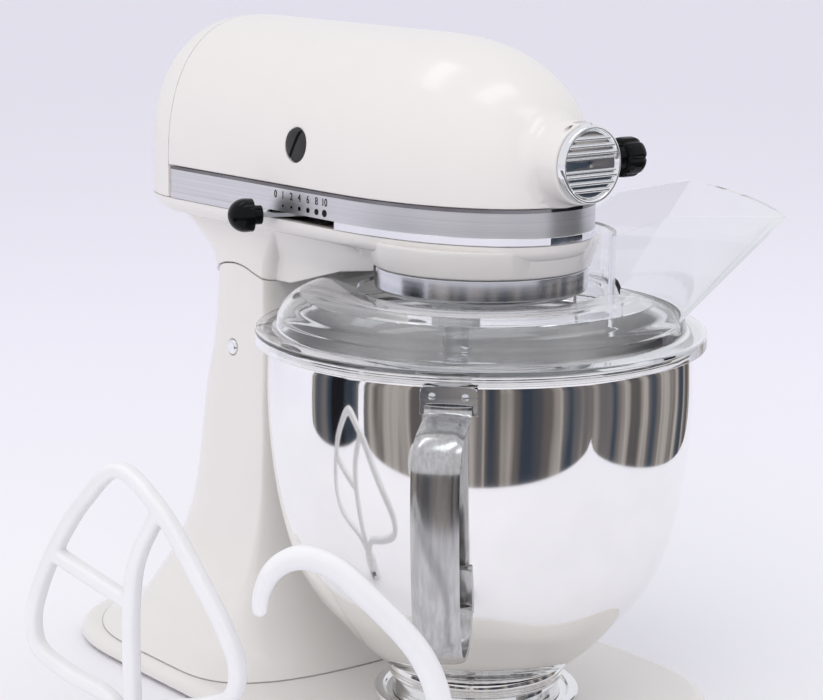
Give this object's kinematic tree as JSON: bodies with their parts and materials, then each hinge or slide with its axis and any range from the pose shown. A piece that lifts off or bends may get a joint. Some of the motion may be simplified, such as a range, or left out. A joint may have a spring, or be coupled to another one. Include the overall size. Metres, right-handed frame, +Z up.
{
  "type": "stand mixer",
  "caption": "Tilt-head stand mixer with a geared head, a steel bowl with a handle, a clear pouring shield, a flat beater and a dough hook.",
  "frame": {"origin": "on the table, under the middle of the whole set's bounding box", "axes": "+Z up, +X towards the nose of the head, +Y towards the side with the hub knob and the chute"},
  "size_m": [0.4002, 0.3746, 0.3503],
  "materials": {
    "paint": "gloss cream-white enamel",
    "rubber": "matte",
    "chrome": "polished",
    "steel": "machined",
    "black": "gloss black",
    "plastic": "matte dark",
    "band": "brushed",
    "bronze": "machined bronze",
    "copper": "enamelled copper winding",
    "iron": "machined",
    "casting": "cast",
    "polished": "mirror polished",
    "clear": "clear",
    "coat": "smooth white coat"
  },
  "bodies": {
    "base": {"base_casting": "paint", "foot_pad_1": "rubber", "foot_pad_2": "rubber", "foot_pad_3": "rubber", "foot_pad_4": "rubber", "foot_pad_5": "rubber", "bowl_clamp_plate": "chrome", "clamp_plate_screw_1": "steel", "clamp_plate_screw_2": "steel", "column_casting": "paint", "column_screw_1": "steel", "column_screw_2": "steel", "hinge_pin": "chrome", "head_height_screw": "steel", "lock_lever_screw": "steel"},
    "lock": {"lock_lever": "steel", "lock_lever_knob": "black"},
    "head": {"motor_housing": "paint", "rear_cover": "paint", "rear_cover_screw": "steel", "gear_case": "paint", "case_screw_1": "steel", "case_screw_2": "steel", "trim_band": "band", "drip_ring": "chrome", "hub_hinge_pin": "steel", "motor_stator": "steel", "field_coils": "copper", "front_bearing": "bronze", "rear_bearing": "bronze", "brush_holder_left": "black", "carbon_brush_left": "plastic", "brush_holder_right": "black", "carbon_brush_right": "plastic", "rear_bearing_plate": "steel", "gear_bracket": "steel", "speed_control_board": "plastic", "ring_gear": "iron", "cord_bush": "plastic"},
    "hub_cover": {"hub_cover": "chrome"},
    "hub_knob": {"hub_knob": "black"},
    "motor_rotor": {"motor_shaft": "steel", "armature": "copper", "cooling_fan": "plastic"},
    "wheel_shaft": {"worm_wheel": "bronze", "pinion_shaft": "steel"},
    "planetary": {"centre_gear": "steel", "planet_carrier": "casting"},
    "beater_drive": {"beater_shaft": "steel", "beater_washer": "band"},
    "hub_drive": {"hub_drive_gear": "steel"},
    "speed_control": {"speed_lever": "steel", "speed_lever_knob": "black"},
    "bowl": {"bowl_shell": "polished", "bowl_foot": "polished", "bowl_handle": "band", "handle_bracket": "band"},
    "shield": {"pouring_shield": "clear"},
    "flat_beater": {"flat_beater": "coat"},
    "dough_hook": {"dough_hook": "coat"}
  },
  "joints": [
    {"name": "head_tilt", "type": "hinge", "parent": "base", "child": "head", "pos_m": [-0.08244, 0.03639, 0.176], "axis": [0, -1, 0], "range_deg": [0, 35]},
    {"name": "lock_lever_swing", "type": "hinge", "parent": "base", "child": "lock", "pos_m": [-0.06544, 0.06639, 0.1973], "axis": [0, 0, 1], "range_deg": [0, 20]},
    {"name": "speed_lever_swing", "type": "hinge", "parent": "head", "child": "speed_control", "pos_m": [-0.00844, 0.02839, 0.2562], "axis": [0, 0, 1], "range_deg": [0, 44]},
    {"name": "hub_cover_swing", "type": "hinge", "parent": "head", "child": "hub_cover", "pos_m": [0.13416, 0.03639, 0.3097], "axis": [0, -1, 0], "range_deg": [0, 90]},
    {"name": "hub_knob_turn", "type": "hinge", "parent": "head", "child": "hub_knob", "pos_m": [0.12656, 0.06639, 0.2928], "axis": [0, 1, 0], "continuous": true},
    {"name": "planetary_turn", "type": "hinge", "parent": "head", "child": "planetary", "pos_m": [0.06256, 0.03639, 0.23], "axis": [0, 0, 1], "continuous": true},
    {"name": "beater_shaft_turn", "type": "hinge", "parent": "planetary", "child": "beater_drive", "pos_m": [0.07408, 0.01087, 0.2], "axis": [0, 0, 1], "continuous": true},
    {"name": "wheel_shaft_turn", "type": "hinge", "parent": "head", "child": "wheel_shaft", "pos_m": [0.02856, 0.06539, 0.292], "axis": [0, 0, 1], "continuous": true},
    {"name": "motor_turn", "type": "hinge", "parent": "head", "child": "motor_rotor", "pos_m": [-0.06744, 0.03639, 0.292], "axis": [1, 0, 0], "continuous": true},
    {"name": "hub_drive_turn", "type": "hinge", "parent": "head", "child": "hub_drive", "pos_m": [0.11256, 0.03639, 0.2928], "axis": [1, 0, 0], "continuous": true},
    {"name": "bowl_twist", "type": "hinge", "parent": "base", "child": "bowl", "pos_m": [0.06256, 0.03639, 0.0134], "axis": [0, 0, 1], "range_deg": [0, 25]},
    {"name": "shield_turn", "type": "hinge", "parent": "base", "child": "shield", "pos_m": [0.06256, 0.03639, 0.205], "axis": [0, 0, 1], "range_deg": [-30, 15]},
    {"name": "flat_beater_lift", "type": "slide", "parent": "base", "child": "flat_beater", "axis": [0, 0, 1], "range_m": [0, 0.15]},
    {"name": "dough_hook_lift", "type": "slide", "parent": "base", "child": "dough_hook", "axis": [0, 0, 1], "range_m": [0, 0.15]}
  ],
  "couplings": [
    {"joint": "beater_shaft_turn", "follows": "planetary_turn", "ratio": -3.5},
    {"joint": "wheel_shaft_turn", "follows": "planetary_turn", "ratio": -4},
    {"joint": "motor_turn", "follows": "planetary_turn", "ratio": -80},
    {"joint": "hub_drive_turn", "follows": "planetary_turn", "ratio": 2}
  ]
}
